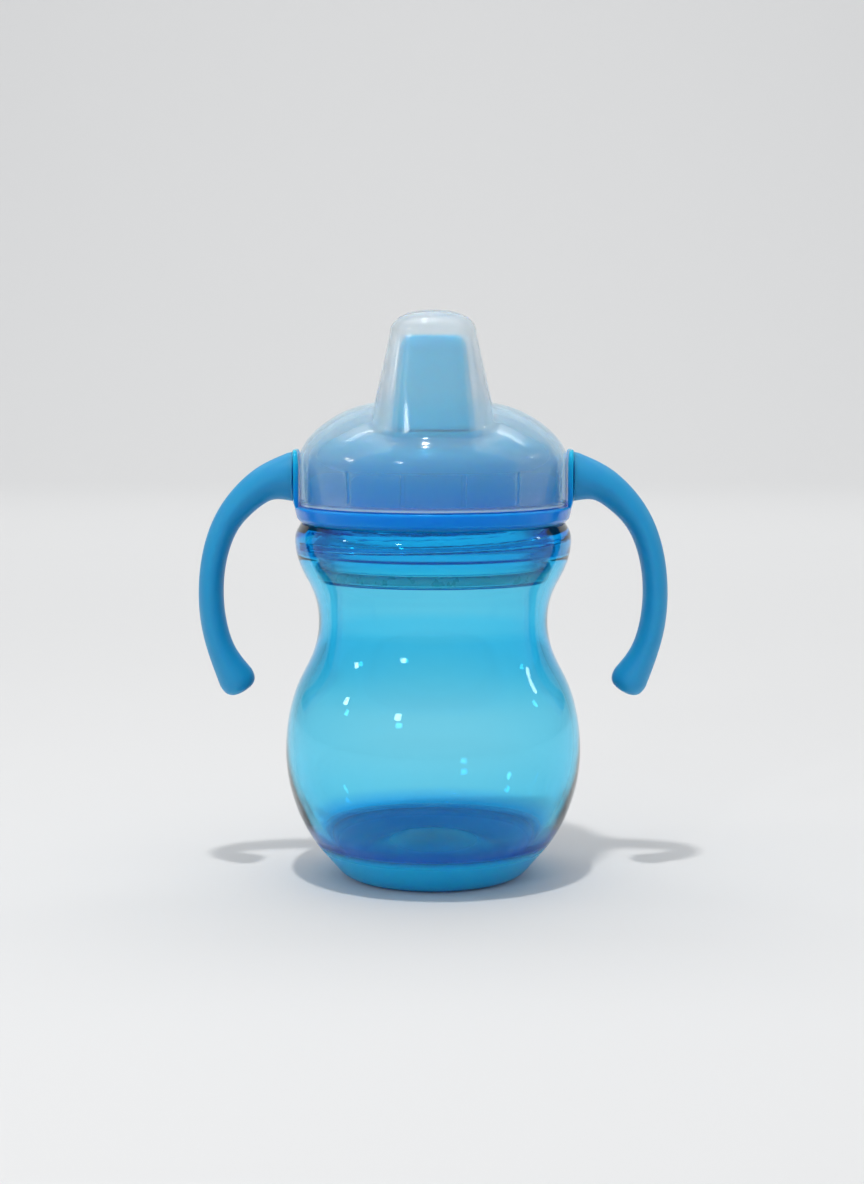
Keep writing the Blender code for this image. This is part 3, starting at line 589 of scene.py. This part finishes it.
def make_lid(plastic):
    dome = spline((
        (0.0, LID_TOP_Z),
        (0.0125, 0.1138),
        (0.0235, 0.1131),
        (0.0280, 0.1116),
        (0.0303, 0.1095),
        (0.0315, 0.1065),
        (LID_RADIUS, 0.1030),
    ), 60)
    lining = inset(dome, LID_WALL)
    lining[0] = (0.0, LID_TOP_Z - LID_WALL)
    outside = refined(rounded((
        (*dome[-1], 0.0),
        (LID_RADIUS, LEDGE_Z, 0.0005),
        (BAND_RADIUS, LEDGE_Z, 0.0006),
        (BAND_FOOT_RADIUS, BAND_FOOT_Z, 0.0012),
        (BAND_BOTTOM_RADIUS, BAND_BOTTOM_Z, 0.0004),
        (LID_THREAD_ROOT, BAND_BOTTOM_Z, 0.0003),
        (LID_THREAD_ROOT, THREAD_Z - 0.0014, 0.0006),
        (SKIRT_RADIUS, THREAD_Z - 0.0024, 0.0006),
        (SKIRT_RADIUS, GROOVE_TOP_Z, 0.0002),
        (GROOVE_RADIUS, GROOVE_TOP_Z, 0.0002),
        (GROOVE_RADIUS, GROOVE_BOTTOM_Z, 0.0002),
        (SKIRT_RADIUS, GROOVE_BOTTOM_Z, 0.0002),
        (SKIRT_RADIUS, SKIRT_BOTTOM_Z, 0.0005),
        (SKIRT_INNER_RADIUS, SKIRT_BOTTOM_Z, 0.0005),
        (SKIRT_INNER_RADIUS, THREAD_Z - 0.0020, 0.002),
        (SKIRT_INNER_RADIUS + 0.0009, THREAD_Z, 0.002),
        (SKIRT_INNER_RADIUS + 0.0009, BAND_BOTTOM_Z, 0.002),
        (LID_RADIUS - LID_WALL, LEDGE_Z, 0.003),
        (*lining[-1], 0.0),
    )), 0.0002)
    profile = np.vstack([dome, outside[1:-1], lining[::-1]])
    ridge = thread_bump(THREAD_Z, 0.0, LID_THREAD_CREST - LID_THREAD_ROOT)

    def on_the_neck(turn, r, z):
        on_neck = abs(r - LID_THREAD_ROOT) < 0.00035
        on_neck = on_neck and THREAD_Z - 0.0013 < z < BAND_BOTTOM_Z - 0.0003
        return ridge(turn, r, z) if on_neck else np.zeros_like(turn)

    lid = piece("lid", turned("lid", profile, bump=on_the_neck), plastic)
    cut(lid, grid_mesh("boss", [
        squarish(BOSS_HALF_X, BOSS_FRONT_Y, BOSS_REAR_Y, BOSS_BOTTOM_Z, power=BOSS_POWER),
        squarish(BOSS_HALF_X, BOSS_FRONT_Y, BOSS_REAR_Y, BOSS_TOP_Z - BOSS_EDGE, power=BOSS_POWER),
        squarish(BOSS_HALF_X - 0.2 * BOSS_EDGE, BOSS_FRONT_Y + 0.2 * BOSS_EDGE,
                 BOSS_REAR_Y - 0.2 * BOSS_EDGE, BOSS_TOP_Z - 0.3 * BOSS_EDGE, power=BOSS_POWER),
        squarish(BOSS_HALF_X - BOSS_EDGE, BOSS_FRONT_Y + BOSS_EDGE, BOSS_REAR_Y - BOSS_EDGE,
                 BOSS_TOP_Z, power=BOSS_POWER),
    ], cap_start=True, cap_end=True), "UNION")
    cut(lid, grid_mesh("socket", [
        seat_ring(SOCKET_HALF_X, SOCKET_HALF_Y, SOCKET_BOTTOM_Z, SOCKET_WALL - SOFT_EDGE),
        seat_ring(SOCKET_HALF_X, SOCKET_HALF_Y, SOCKET_BOTTOM_Z + SOFT_EDGE, SOCKET_WALL),
        seat_ring(SOCKET_HALF_X, SOCKET_HALF_Y, SOCKET_ROOF_Z, SOCKET_WALL),
    ], cap_start=True, cap_end=True), "UNION")
    for side in (1, -1):
        cut(lid, ear_mesh(side), "UNION")
    cut(lid, grid_mesh("bore", [
        seat_ring(SOCKET_HALF_X, SOCKET_HALF_Y, SOCKET_BOTTOM_Z - OVERLAP),
        seat_ring(SOCKET_HALF_X, SOCKET_HALF_Y, SOCKET_ROOF_Z),
    ], cap_start=True, cap_end=True))
    cut(lid, grid_mesh("hole", [
        seat_ring(NECK_HALF_X, NECK_HALF_Y, SOCKET_ROOF_Z - OVERLAP, GAP),
        seat_ring(NECK_HALF_X, NECK_HALF_Y, BOSS_TOP_Z + OVERLAP, GAP),
    ], cap_start=True, cap_end=True))
    smooth_shading(lid, 40)
    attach(lid, "lid")
    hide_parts("screw_lid")


# ================================================================ handles
HANDLE_DEPTH = 0.0098
HANDLE_STATIONS = (
    (0.0357, 0.1028, 0.0128, 0.0104),
    (0.0429, 0.1010, 0.0091, 0.0102),
    (0.0476, 0.0975, 0.0080, HANDLE_DEPTH),
    (0.0522, 0.0920, 0.0070, HANDLE_DEPTH),
    (0.0554, 0.0844, 0.0065, HANDLE_DEPTH),
    (0.05687, 0.0737, 0.0064, HANDLE_DEPTH),
    (0.0561, 0.0645, 0.0066, HANDLE_DEPTH),
    (0.0539, 0.0572, 0.0072, HANDLE_DEPTH),
    (0.0508, 0.0513, 0.0092, 0.0106),
)
SOLE_HEIGHT = 0.0042
SOLE_POWER = 2.8
ARM_POWER = 1.8             # below 2 the section has a soft ridge along its middle


def handle_mesh(side):
    """One arm: rounded sections across a smooth middle line, and a rounded sole."""
    stations = spline(HANDLE_STATIONS, 90)
    along = np.gradient(stations[:, :2], axis=0)
    along /= np.linalg.norm(along, axis=1)[:, None]
    along[0] = (1.0, 0.0)
    plan = [(station, direction, 0.0, 1.0) for station, direction in zip(stations, along)]
    for angle in np.linspace(6.0, 87.0, 16):
        lean = math.radians(angle)
        plan.append((stations[-1], along[-1], math.sin(lean) ** (2 / SOLE_POWER),
                     math.cos(lean) ** (2 / SOLE_POWER)))
    count = 72
    turn = 2 * np.pi * np.arange(count) / count
    across = np.sign(np.cos(turn)) * np.abs(np.cos(turn)) ** (2 / ARM_POWER)
    deep = np.sign(np.sin(turn)) * np.abs(np.sin(turn)) ** (2 / ARM_POWER)
    rings = []
    for (x, z, width, depth), (dx, dz), share, shrink in plan:
        cx = x + dx * SOLE_HEIGHT * share
        cz = z + dz * SOLE_HEIGHT * share
        out = width / 2 * shrink * across
        rings.append(np.column_stack([side * (cx - dz * out), depth / 2 * shrink * deep,
                                      cz + dx * out]))
    return grid_mesh("handle", rings, cap_start=True, cap_end=True)


def make_handles(plastic):
    for name, side in (("left", -1), ("right", 1)):
        arm = piece(f"{name}_handle", handle_mesh(side), plastic)
        smooth_shading(arm, 50)
        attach(arm, "lid")
        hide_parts(f"handle_{name}")


# ================================================================ spout
SPOUT_BASE_HALF_X = 0.0104
SPOUT_TOP_HALF_X = 0.0078
SPOUT_TOP_Z = 0.1385
SPOUT_BASE_Z = BOSS_TOP_Z + GAP
SPOUT_FRONT_Y = -0.0274     # at its base, as is the rear
SPOUT_REAR_Y = -0.0115
SPOUT_FRONT_DRAFT = 0.227
SPOUT_REAR_DRAFT = 0.138
SPOUT_POWER = 2.8
SPOUT_FLANGE = 0.0022
SPOUT_BEND_Z = 0.1255
SPOUT_WALL = 0.0015
SPOUT_HOLE_RADIUS = 0.0008
SPOUT_HOLE_SPACING = 0.0034
SPOUT_LIP = 0.0038
SPOUT_LIP_Z = SPOUT_TOP_Z - SPOUT_LIP
SPOUT_SHOULDER = 0.36       # share of its half-width that the rounded top takes up
SPOUT_DISH = 0.0008


def spout_ring(z, wall=0.0, shrink=1.0, height=None):
    """The section of the spout's body at z, inset by a wall or shrunk to its middle."""
    front = SPOUT_FRONT_Y + (z - SPOUT_BASE_Z) * SPOUT_FRONT_DRAFT + wall
    rear = SPOUT_REAR_Y - (z - SPOUT_BASE_Z) * SPOUT_REAR_DRAFT - wall
    rise = (z - SPOUT_BASE_Z) / (SPOUT_TOP_Z - SPOUT_BASE_Z)
    half_x = (SPOUT_BASE_HALF_X + rise * (SPOUT_TOP_HALF_X - SPOUT_BASE_HALF_X) - wall) * shrink
    middle = (front + rear) / 2
    half_y = (rear - front) / 2 * shrink
    return squarish(half_x, middle - half_y, middle + half_y, height or z, power=SPOUT_POWER)


def make_spout(rubber):
    flange_top = SOCKET_ROOF_Z - GAP
    flange_bottom = flange_top - SPOUT_FLANGE
    flange = (SOCKET_HALF_X - 2 * GAP, SOCKET_HALF_Y - 2 * GAP)
    rings = [
        seat_ring(*flange, flange_bottom, -SOFT_EDGE),
        seat_ring(*flange, flange_bottom + SOFT_EDGE),
        seat_ring(*flange, flange_top - SOFT_EDGE),
        seat_ring(*flange, flange_top, -SOFT_EDGE),
        seat_ring(NECK_HALF_X, NECK_HALF_Y, flange_top, 0.0002),
        seat_ring(NECK_HALF_X, NECK_HALF_Y, flange_top + SOFT_EDGE),
        seat_ring(NECK_HALF_X, NECK_HALF_Y, SPOUT_BASE_Z - 0.0002),
        seat_ring(NECK_HALF_X, NECK_HALF_Y, SPOUT_BASE_Z, 0.0002),
        spout_ring(SPOUT_BASE_Z, shrink=0.97),
        spout_ring(SPOUT_BASE_Z + 0.0004),
    ]
    rings += [spout_ring(z) for z in np.linspace(SPOUT_BASE_Z + 0.0010, SPOUT_LIP_Z, 24)]
    for angle in np.linspace(10.0, 80.0, 8):
        lean = math.radians(angle)
        rings.append(spout_ring(SPOUT_LIP_Z, shrink=1.0 - SPOUT_SHOULDER * (1 - math.cos(lean)),
                                height=SPOUT_LIP_Z + SPOUT_LIP * math.sin(lean)))
    for shrink in (0.63, 0.58, 0.52, 0.44, 0.34, 0.23, 0.12):
        dish = SPOUT_DISH * (1 - (shrink / 0.66) ** 2) ** 1.5
        rings.append(spout_ring(SPOUT_LIP_Z, shrink=shrink, height=SPOUT_TOP_Z - dish))
    spout = piece("spout", grid_mesh("spout", rings, cap_start=True, cap_end=True), rubber)
    roof = SPOUT_TOP_Z - SPOUT_DISH - SPOUT_WALL
    neck = (NECK_HALF_X - NECK_WALL, NECK_HALF_Y - NECK_WALL)
    cut(spout, grid_mesh("passage", [
        seat_ring(*neck, flange_bottom - OVERLAP),
        seat_ring(*neck, SPOUT_BASE_Z + SPOUT_WALL),
        spout_ring(SPOUT_BASE_Z + 2 * SPOUT_WALL, wall=SPOUT_WALL),
        spout_ring(SPOUT_BEND_Z, wall=SPOUT_WALL),
        spout_ring(SPOUT_LIP_Z - 0.001, wall=SPOUT_WALL),
        spout_ring(SPOUT_LIP_Z, wall=SPOUT_WALL, shrink=0.8, height=roof),
    ], cap_start=True, cap_end=True))
    tip = spout_ring(SPOUT_LIP_Z).mean(axis=0)
    turn = 2 * np.pi * np.arange(24) / 24
    for k in (-1, 0, 1):
        cut(spout, grid_mesh("drink_hole", [
            np.column_stack([k * SPOUT_HOLE_SPACING + SPOUT_HOLE_RADIUS * np.cos(turn),
                             tip[1] + SPOUT_HOLE_RADIUS * np.sin(turn), np.full(24, z)])
            for z in (SPOUT_LIP_Z - 2 * OVERLAP, SPOUT_TOP_Z + OVERLAP)], cap_start=True, cap_end=True))
    smooth_shading(spout, 45)
    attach(spout, "lid")
    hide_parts("soft_spout")


# ================================================================ valve and seal
VALVE_FLANGE = (0.0094, 0.0074)
VALVE_BOTTOM_Z = 0.1018
VALVE_TAB_Z = 0.0960
VALVE_TAB_HALF_X = 0.0034
VALVE_TAB_Y = (-0.0128, -0.0112)
VALVE_MEMBRANE_Z = 0.1056
VALVE_MEMBRANE_HALF = 0.0004
VALVE_WALL = 0.0013
VALVE_TOP_Z = SOCKET_ROOF_Z - 0.0028
SLIT_WIDTH = 0.0003
SLIT_HEIGHT = 0.004
SLIT_LENGTHS = (0.008, 0.006)
SEAL_OUTER_RADIUS = 0.0305


def make_valve(rubber):
    plug = (SOCKET_HALF_X - 2 * GAP, SOCKET_HALF_Y - 2 * GAP)
    shoulder = SOCKET_BOTTOM_Z - GAP
    valve = piece("valve", grid_mesh("valve", [
        seat_ring(*VALVE_FLANGE, VALVE_BOTTOM_Z, -SOFT_EDGE),
        seat_ring(*VALVE_FLANGE, VALVE_BOTTOM_Z + SOFT_EDGE),
        seat_ring(*VALVE_FLANGE, shoulder - SOFT_EDGE),
        seat_ring(*VALVE_FLANGE, shoulder, -SOFT_EDGE),
        seat_ring(*plug, shoulder),
        seat_ring(*plug, shoulder + 0.003),
        seat_ring(*plug, VALVE_TOP_Z - SOFT_EDGE),
        seat_ring(*plug, VALVE_TOP_Z, -SOFT_EDGE),
    ], cap_start=True, cap_end=True), rubber)
    cut(valve, grid_mesh("tab", [
        squarish(0.0026, -0.0125, -0.0115, VALVE_TAB_Z, power=4.0),
        squarish(VALVE_TAB_HALF_X, *VALVE_TAB_Y, VALVE_TAB_Z + 0.0008, power=4.0),
        squarish(VALVE_TAB_HALF_X, *VALVE_TAB_Y, VALVE_BOTTOM_Z + 0.0005, power=4.0),
    ], cap_start=True, cap_end=True), "UNION")
    hollow = (plug[0] - VALVE_WALL, plug[1] - VALVE_WALL)
    for low, high in ((VALVE_MEMBRANE_Z + VALVE_MEMBRANE_HALF, VALVE_TOP_Z + OVERLAP),
                      (VALVE_BOTTOM_Z - OVERLAP, VALVE_MEMBRANE_Z - VALVE_MEMBRANE_HALF)):
        cut(valve, grid_mesh("hollow", [seat_ring(*hollow, low), seat_ring(*hollow, high)],
                             cap_start=True, cap_end=True))
    for angle, length in zip((0.0, math.pi / 2), SLIT_LENGTHS):
        form = bmesh.new()
        size = Matrix.Diagonal((length, SLIT_WIDTH, SLIT_HEIGHT, 1.0))
        place = Matrix.Translation((0.0, SEAT_Y, VALVE_MEMBRANE_Z)) @ Matrix.Rotation(angle, 4, "Z")
        bmesh.ops.create_cube(form, size=1.0, matrix=place @ size)
        mesh = bpy.data.meshes.new("slit")
        form.to_mesh(mesh)
        form.free()
        cut(valve, mesh)
    smooth_shading(valve, 40)
    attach(valve, "valve")
    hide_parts("spill_valve")


def make_seal(rubber):
    low = GROOVE_BOTTOM_Z + GAP
    high = GROOVE_TOP_Z - GAP
    inner = GROOVE_RADIUS + GAP
    profile = rounded((
        (inner, (low + high) / 2, 0.0),
        (inner, high, 0.0002),
        (SEAL_OUTER_RADIUS, high, 0.0009),
        (SEAL_OUTER_RADIUS, low, 0.0011),
        (inner, low, 0.0002),
        (inner, (low + high) / 2 - 0.0001, 0.0),
    ), steps=8)
    seal = piece("seal", turned("seal", profile, closed=True), rubber)
    smooth_shading(seal, 50)
    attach(seal, "seal")
    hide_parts("seal_ring")


# ================================================================ cap
CAP_WALL = 0.0014
CAP_RIM_Z = LEDGE_Z + GAP
CAP_RIM_RADIUS = 0.0339
CAP_RADIUS = 0.0342
CAP_CREST_Z = 0.1226
TOWER_TOP_Z = 0.14465
TOWER_DRAFT = 0.225
TOWER_REAR_DRAFT = 0.14
TOWER_CROWN = 0.00585
TOWER_CROWN_POWER = 2.3
TOWER_FOOT_POWER = 2.2
TOWER_TIP_POWER = 2.8
TOWER_HALF_X = 0.0142
TOWER_HALF_Z = 0.1229       # the height at which the tower has this half-width
TOWER_FRONT = (-0.0305, 0.1140)
TOWER_REAR = (-0.0095, 0.1215)
FILLET_RADIUS = 0.0026
RIB_ANGLES = (13.0, 39.0, 73.0)
RIB_WIDTH = 0.0012
RIB_BOTTOM_Z = 0.0975
RIB_TOP_Z = 0.1055
RIB_INNER_RADIUS = 0.0323
RIB_EDGE = 0.00025


class Dome:
    """The cap's dome, laid out flat: a point of the plan is a distance from the
    crest along the dome, and a direction."""

    def __init__(self, outline):
        lengths = np.linalg.norm(np.diff(outline, axis=0), axis=1)
        self.reach = np.concatenate([[0.0], np.cumsum(lengths)])
        self.radius = outline[:, 0]
        self.height = outline[:, 1]

    def place(self, plan):
        reach = math.hypot(*plan)
        radius = float(np.interp(reach, self.reach, self.radius))
        height = float(np.interp(reach, self.reach, self.height))
        scale = radius / reach if reach > 1e-9 else 1.0
        return np.array((plan[0] * scale, plan[1] * scale, height))

    def plan_of(self, x, y):
        radius = math.hypot(x, y)
        reach = float(np.interp(radius, self.radius, self.reach))
        scale = reach / radius if radius > 1e-9 else 1.0
        return np.array((x * scale, y * scale))

    def height_at(self, radius):
        return float(np.interp(radius, self.radius, self.height))


def tower_point(turn, z, shrink=1.0):
    """A point of the tower's outside at height z, as its section goes round."""
    half_x = (TOWER_HALF_X + (TOWER_HALF_Z - z) * TOWER_DRAFT) * shrink
    front = TOWER_FRONT[0] + (z - TOWER_FRONT[1]) * TOWER_DRAFT
    rear = TOWER_REAR[0] - (z - TOWER_REAR[1]) * TOWER_REAR_DRAFT
    half_y = (rear - front) / 2 * shrink
    rise = min(max((z - TOWER_FRONT[1]) / (TOWER_TOP_Z - TOWER_FRONT[1]), 0.0), 1.0)
    power = TOWER_FOOT_POWER + (TOWER_TIP_POWER - TOWER_FOOT_POWER) * rise
    c = math.cos(turn)
    s = math.sin(turn)
    x = half_x * math.copysign(abs(c) ** (2 / power), c)
    y = (front + rear) / 2 + half_y * math.copysign(abs(s) ** (2 / power), s)
    return np.array((x, y, z))


def unit(vector):
    return vector / np.linalg.norm(vector)


def cap_column(dome, turn):
    """Points of the cap's outside from its rim to the top of the tower, at one turn."""
    crossing = tower_point(turn, TOWER_REAR[1])
    for _ in range(30):
        z = dome.height_at(math.hypot(crossing[0], crossing[1]))
        crossing = tower_point(turn, (z + crossing[2]) / 2)
    rim_direction = np.array((math.cos(turn), math.sin(turn)))
    edge = dome.reach[-1] * rim_direction
    foot = dome.plan_of(crossing[0], crossing[1])
    outward = unit(edge - foot)
    wall = unit(tower_point(turn, crossing[2] + 0.001) - crossing)
    slope = unit(crossing - dome.place(foot + 0.001 * outward))
    corner = math.acos(min(1.0, float(np.dot(wall, slope))))
    blend = FILLET_RADIUS * math.tan(corner / 2)
    foot = foot + outward * blend
    column = []
    side = spline(((CAP_RIM_RADIUS, CAP_RIM_Z), (0.0341, 0.0985), (CAP_RADIUS, 0.1015),
                   (CAP_RADIUS, 0.1040)), 12)
    for radius, z in side[:-1]:
        column.append(np.array((*(radius * rim_direction), z)))
    for share in np.linspace(0.0, 1.0, 40):
        column.append(dome.place(edge + (foot - edge) * share))
    low = column[-1]
    high = tower_point(turn, crossing[2] + blend)
    for t in np.linspace(0.0, 1.0, 9)[1:]:
        column.append((1 - t) ** 2 * low + 2 * t * (1 - t) * crossing + t ** 2 * high)
    side_top = TOWER_TOP_Z - TOWER_CROWN
    for share in np.linspace(0.0, 1.0, 22)[1:]:
        column.append(tower_point(turn, high[2] + (side_top - high[2]) * share))
    for angle in np.linspace(6.0, 86.0, 18):
        lean = math.radians(angle)
        shrink = math.cos(lean) ** (2 / TOWER_CROWN_POWER)
        rise = TOWER_CROWN * math.sin(lean) ** (2 / TOWER_CROWN_POWER)
        x, y, _ = tower_point(turn, side_top, shrink)
        column.append(np.array((x, y, side_top + rise)))
    return column


def make_cap(plastic):
    dome = Dome(spline((
        (0.0, CAP_CREST_Z),
        (0.0095, 0.1223),
        (0.0178, 0.1211),
        (0.0244, 0.1185),
        (0.0292, 0.1152),
        (0.0327, 0.1113),
        (0.0341, 0.1078),
        (CAP_RADIUS, 0.1040),
    ), 300))
    columns = [cap_column(dome, 2 * math.pi * k / FINE) for k in range(FINE)]
    rings = np.array(columns).transpose(1, 0, 2)
    cap = piece("cap", grid_mesh("cap", rings, cap_end=True), plastic)
    shell = cap.modifiers.new("Wall", "SOLIDIFY")
    shell.thickness = CAP_WALL
    shell.offset = -1.0
    shell.use_even_offset = True
    settle(cap)
    rib_root = CAP_RADIUS - CAP_WALL / 2
    size = Matrix.Diagonal((rib_root - RIB_INNER_RADIUS, RIB_WIDTH, RIB_TOP_Z - RIB_BOTTOM_Z, 1.0))
    place = Matrix.Translation(((RIB_INNER_RADIUS + rib_root) / 2, 0.0,
                                (RIB_BOTTOM_Z + RIB_TOP_Z) / 2))
    form = bmesh.new()
    for from_front in RIB_ANGLES:
        for angle in (from_front, -from_front, 180 - from_front, 180 + from_front):
            spin = Matrix.Rotation(math.radians(angle - 90), 4, "Z")
            made = bmesh.ops.create_cube(form, size=1.0, matrix=spin @ place @ size)
            edges = {edge for vert in made["verts"] for edge in vert.link_edges}
            bmesh.ops.bevel(form, geom=list(edges), offset=RIB_EDGE, segments=3,
                            affect="EDGES", profile=0.5)
    mesh = bpy.data.meshes.new("ribs")
    form.to_mesh(mesh)
    form.free()
    cut(cap, mesh, "UNION")
    smooth_shading(cap, 40)
    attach(cap, "cap")
    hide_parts("travel_cap")


# ================================================================ stage
CAMERA_DISTANCE = 0.548
CAMERA_HEIGHT = 0.1329
CAMERA_PITCH = math.radians(6.21)
CAMERA_LENS = 65.4


def make_camera():
    data = bpy.data.cameras.new("camera")
    data.lens = CAMERA_LENS
    data.sensor_width = 36.0
    data.sensor_fit = "AUTO"
    data.clip_start = 0.01
    data.clip_end = 50.0
    camera = bpy.data.objects.new("camera", data)
    camera.location = (-0.0003, -CAMERA_DISTANCE, CAMERA_HEIGHT)
    camera.rotation_euler = (math.pi / 2 - CAMERA_PITCH, 0.0, 0.0)
    bpy.context.scene.collection.objects.link(camera)
    bpy.context.scene.camera = camera


def make_floor():
    """A pale sweep: a wide floor that curves up into a wall far behind."""
    material, tree, shader = new_material("sweep_paper")
    shader.inputs["Base Color"].default_value = (0.75, 0.75, 0.742, 1.0)
    shader.inputs["Roughness"].default_value = 0.9
    shader.inputs["Specular IOR Level"].default_value = 0.1
    half = 3.0
    bend = 0.9
    wall_y = 2.6
    path = [(-half, 0.0), (wall_y - bend, 0.0)]
    for angle in np.linspace(0.0, 90.0, 25)[1:]:
        lean = math.radians(angle)
        path.append((wall_y - bend + bend * math.sin(lean), bend - bend * math.cos(lean)))
    path.append((wall_y, 3.0))
    verts = [(x, y, z) for y, z in path for x in (-half, half)]
    faces = [(2 * i, 2 * i + 1, 2 * i + 3, 2 * i + 2) for i in range(len(path) - 1)]
    mesh = bpy.data.meshes.new("sweep")
    mesh.from_pydata(verts, [], faces)
    mesh.shade_smooth()
    piece("sweep", mesh, material)


def area_light(name, place, target, size, watts, colour=(1.0, 1.0, 1.0)):
    data = bpy.data.lights.new(name, "AREA")
    data.shape = "RECTANGLE"
    data.size, data.size_y = size
    data.energy = watts
    data.color = colour
    lamp = bpy.data.objects.new(name, data)
    lamp.location = place
    aim = Vector(target) - Vector(place)
    lamp.rotation_mode = "QUATERNION"
    lamp.rotation_quaternion = aim.to_track_quat("-Z", "Y")
    bpy.context.scene.collection.objects.link(lamp)


def make_lights():
    world = bpy.data.worlds.new("studio")
    world.use_nodes = True
    background = world.node_tree.nodes["Background"]
    background.inputs["Color"].default_value = (0.93, 0.95, 1.0, 1.0)
    background.inputs["Strength"].default_value = 0.48
    bpy.context.scene.world = world
    middle = (0.0, 0.0, 0.07)
    area_light("key", (-0.06, -0.24, 0.84), middle, (0.04, 0.04), 2.8)
    area_light("ceiling", (0.0, 0.1, 1.9), middle, (2.2, 2.2), 8.0)
    area_light("backdrop", (0.0, 1.0, 1.6), (0.0, 2.1, 0.05), (3.0, 0.6), 18.5)
    area_light("front_left", (-0.42, -0.76, 0.42), middle, (0.08, 0.08), 0.5)
    area_light("left", (-0.86, -0.15, 0.44), middle, (0.06, 0.08), 0.35, (1.0, 0.92, 0.84))
    area_light("right", (0.86, 0.18, 0.44), middle, (0.06, 0.08), 0.16, (1.0, 0.92, 0.84))


def set_colour_and_bounces():
    scene = bpy.context.scene
    scene.view_settings.view_transform = "Standard"
    scene.view_settings.look = "None"
    scene.cycles.max_bounces = 24
    scene.cycles.transmission_bounces = 20
    scene.cycles.glossy_bounces = 6
    scene.cycles.diffuse_bounces = 4
    scene.cycles.transparent_max_bounces = 12


make_camera()
make_cup(cup_plastic())
make_lid(lid_plastic())
make_handles(arm_plastic())
make_spout(silicone("spout_silicone", (0.03, 0.60, 1.0), 0.5))
make_valve(silicone("valve_silicone", (0.80, 0.88, 0.92), 0.5))
make_seal(silicone("seal_silicone", (0.12, 0.85, 1.0), 0.3, 0.2, relief=0.0))
make_cap(cap_plastic())
make_floor()
make_lights()
set_colour_and_bounces()
